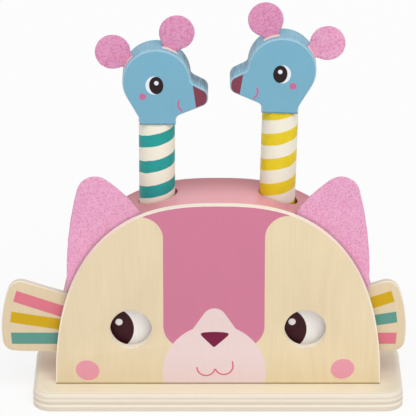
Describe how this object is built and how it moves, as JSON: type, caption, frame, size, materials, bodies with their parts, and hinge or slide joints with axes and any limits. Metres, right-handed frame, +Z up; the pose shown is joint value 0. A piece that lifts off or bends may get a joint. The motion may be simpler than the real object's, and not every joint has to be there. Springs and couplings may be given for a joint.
{
  "type": "pop-up animal toy",
  "caption": "Wooden pop-up toy: an arched cat body on a base board, with mouse heads on sprung round dowels and a sliding finned board that moves the cat's eyes.",
  "frame": {"origin": "centre of the base board's underside", "axes": "+Z up, the cat's face looks along -Y, +X is on the viewer's right"},
  "size_m": [0.2492, 0.078, 0.2506],
  "materials": {
    "birch_ply": "clear matt varnish, ply layers on the edges",
    "base_ply": "clear matt varnish, rounded ply edges",
    "pink_cover": "smooth satin paint",
    "bare_beech": "plain sanded wood",
    "teal_striped_dowel": "satin paint, spiral stripe",
    "yellow_striped_dowel": "satin paint, spiral stripe",
    "blue_paint": "satin paint with printed face",
    "pink_felt": "pressed felt with flecks",
    "spring_steel": "bright drawn wire",
    "zinc_screw": "zinc plated"
  },
  "bodies": {
    "toy_body": {"base_board": "base_ply", "front_panel": "birch_ply", "rear_panel": "pink_cover", "arch_cover": "pink_cover", "slider_upper_rail": "bare_beech", "slider_lower_rail": "bare_beech", "slider_stop_peg": "bare_beech", "left_cat_ear": "pink_felt", "right_cat_ear": "pink_felt", "base_screws": "zinc_screw"},
    "eye_slider": {"eye_slider": "birch_ply"},
    "left_spring_top": {"left_spring": "spring_steel"},
    "left_mouse": {"left_mouse_dowel": "teal_striped_dowel", "left_mouse_head": "blue_paint", "left_mouse_top_ear": "pink_felt", "left_mouse_back_ear": "pink_felt", "left_head_peg": "bare_beech", "left_retaining_disc": "bare_beech", "left_disc_screw": "zinc_screw"},
    "right_spring_top": {"right_spring": "spring_steel"},
    "right_mouse": {"right_mouse_dowel": "yellow_striped_dowel", "right_mouse_head": "blue_paint", "right_mouse_top_ear": "pink_felt", "right_mouse_back_ear": "pink_felt", "right_head_peg": "bare_beech", "right_retaining_disc": "bare_beech", "right_disc_screw": "zinc_screw"}
  },
  "joints": [
    {"name": "eye_slide", "type": "slide", "parent": "toy_body", "child": "eye_slider", "axis": [1, 0, 0], "range_m": [0, 0.0175]},
    {"name": "left_mouse_press", "type": "slide", "parent": "toy_body", "child": "left_spring_top", "axis": [0, 0, 1], "range_m": [-0.044, 0.0109], "stiffness_N_per_m": 160, "springref_m": 0.00307, "deforming": ["left_spring"]},
    {"name": "left_mouse_turn", "type": "hinge", "parent": "left_spring_top", "child": "left_mouse", "pos_m": [-0.0373, 0.005, 0.1], "axis": [0, 0, 1], "continuous": true},
    {"name": "right_mouse_press", "type": "slide", "parent": "toy_body", "child": "right_spring_top", "axis": [0.0279, 0, 0.9996], "range_m": [-0.0515, 0.0031], "stiffness_N_per_m": 160, "springref_m": 0.00307, "deforming": ["right_spring"]},
    {"name": "right_mouse_turn", "type": "hinge", "parent": "right_spring_top", "child": "right_mouse", "pos_m": [0.0362, 0.005, 0.126], "axis": [0.0279, 0, 0.9996], "continuous": true}
  ]
}
